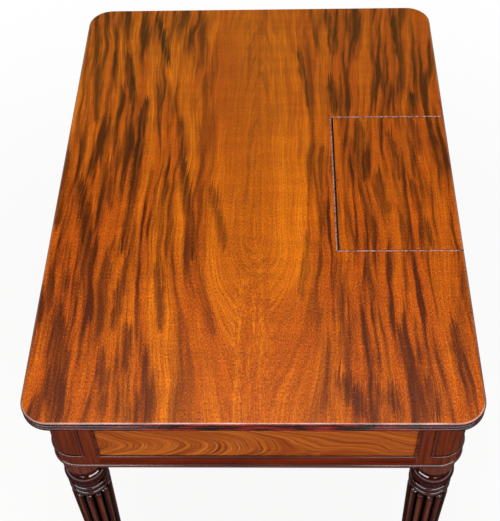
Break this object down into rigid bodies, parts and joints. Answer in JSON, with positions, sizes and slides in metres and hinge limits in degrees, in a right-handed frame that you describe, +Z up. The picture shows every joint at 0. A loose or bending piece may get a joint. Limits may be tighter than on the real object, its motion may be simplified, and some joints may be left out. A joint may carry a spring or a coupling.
{
  "type": "writing table",
  "caption": "Mahogany writing table with reeded edge and legs, a long frieze drawer, and a hinged flap over a fitted pen and ink well.",
  "frame": {"origin": "on the floor under the middle of the top", "axes": "+X along the length of the table to the user's right, +Y from the user to the back, +Z up"},
  "size_m": [0.866, 0.61, 0.7408],
  "materials": {
    "figured_top": "french-polished figured mahogany, glossy",
    "figured_panel": "french-polished figured mahogany veneer",
    "mahogany": "polished plain mahogany",
    "dark_mahogany": "dark polished mahogany",
    "oak": "plain waxed oak",
    "pine": "bare pine",
    "brass": "satin aged brass"
  },
  "bodies": {
    "table": {"top": "figured_top", "flap_bead": "dark_mahogany", "leg_front_left": "dark_mahogany", "leg_front_right": "dark_mahogany", "leg_back_left": "dark_mahogany", "leg_back_right": "dark_mahogany", "apron_left": "mahogany", "apron_right": "mahogany", "apron_back": "mahogany", "rail_front_upper": "mahogany", "rail_front_lower": "mahogany", "cross_rail": "pine", "panel_left": "figured_panel", "panel_right": "figured_panel", "panel_back": "figured_panel", "panel_beads_left": "dark_mahogany", "panel_beads_right": "dark_mahogany", "panel_beads_back": "dark_mahogany", "corner_beads_front_left": "dark_mahogany", "corner_beads_front_right": "dark_mahogany", "corner_beads_back_left": "dark_mahogany", "corner_beads_back_right": "dark_mahogany", "astragal_front": "dark_mahogany", "astragal_back": "dark_mahogany", "astragal_left": "dark_mahogany", "astragal_right": "dark_mahogany", "astragal_corners": "dark_mahogany", "well_side_left": "mahogany", "well_side_right": "mahogany", "well_floor": "mahogany", "well_division_long": "mahogany", "well_division_left": "mahogany", "well_division_right": "mahogany", "pen_tray": "mahogany", "runner_left": "oak", "runner_right": "oak", "guide_left": "oak", "guide_right": "oak", "kicker_left": "oak", "kicker_right": "oak", "drawer_stops": "oak", "glue_blocks": "pine", "hinge_leaf_fixed_left": "brass", "hinge_leaf_fixed_right": "brass", "hinge_pin_left": "brass", "hinge_pin_right": "brass"},
    "drawer": {"drawer_front": "figured_panel", "drawer_side_left": "oak", "drawer_side_right": "oak", "drawer_back": "oak", "drawer_bottom": "oak", "drawer_beads": "dark_mahogany", "knob_left": "dark_mahogany", "knob_right": "dark_mahogany"},
    "flap": {"flap": "figured_top", "flap_lug": "brass", "hinge_leaf_flap_left": "brass", "hinge_leaf_flap_right": "brass"}
  },
  "joints": [
    {"name": "drawer_slide", "type": "slide", "parent": "table", "child": "drawer", "axis": [0, -1, 0], "range_m": [0, 0.28]},
    {"name": "flap_hinge", "type": "hinge", "parent": "table", "child": "flap", "pos_m": [0, 0.295, 0.72215], "axis": [-1, 0, 0], "range_deg": [0, 110]}
  ]
}
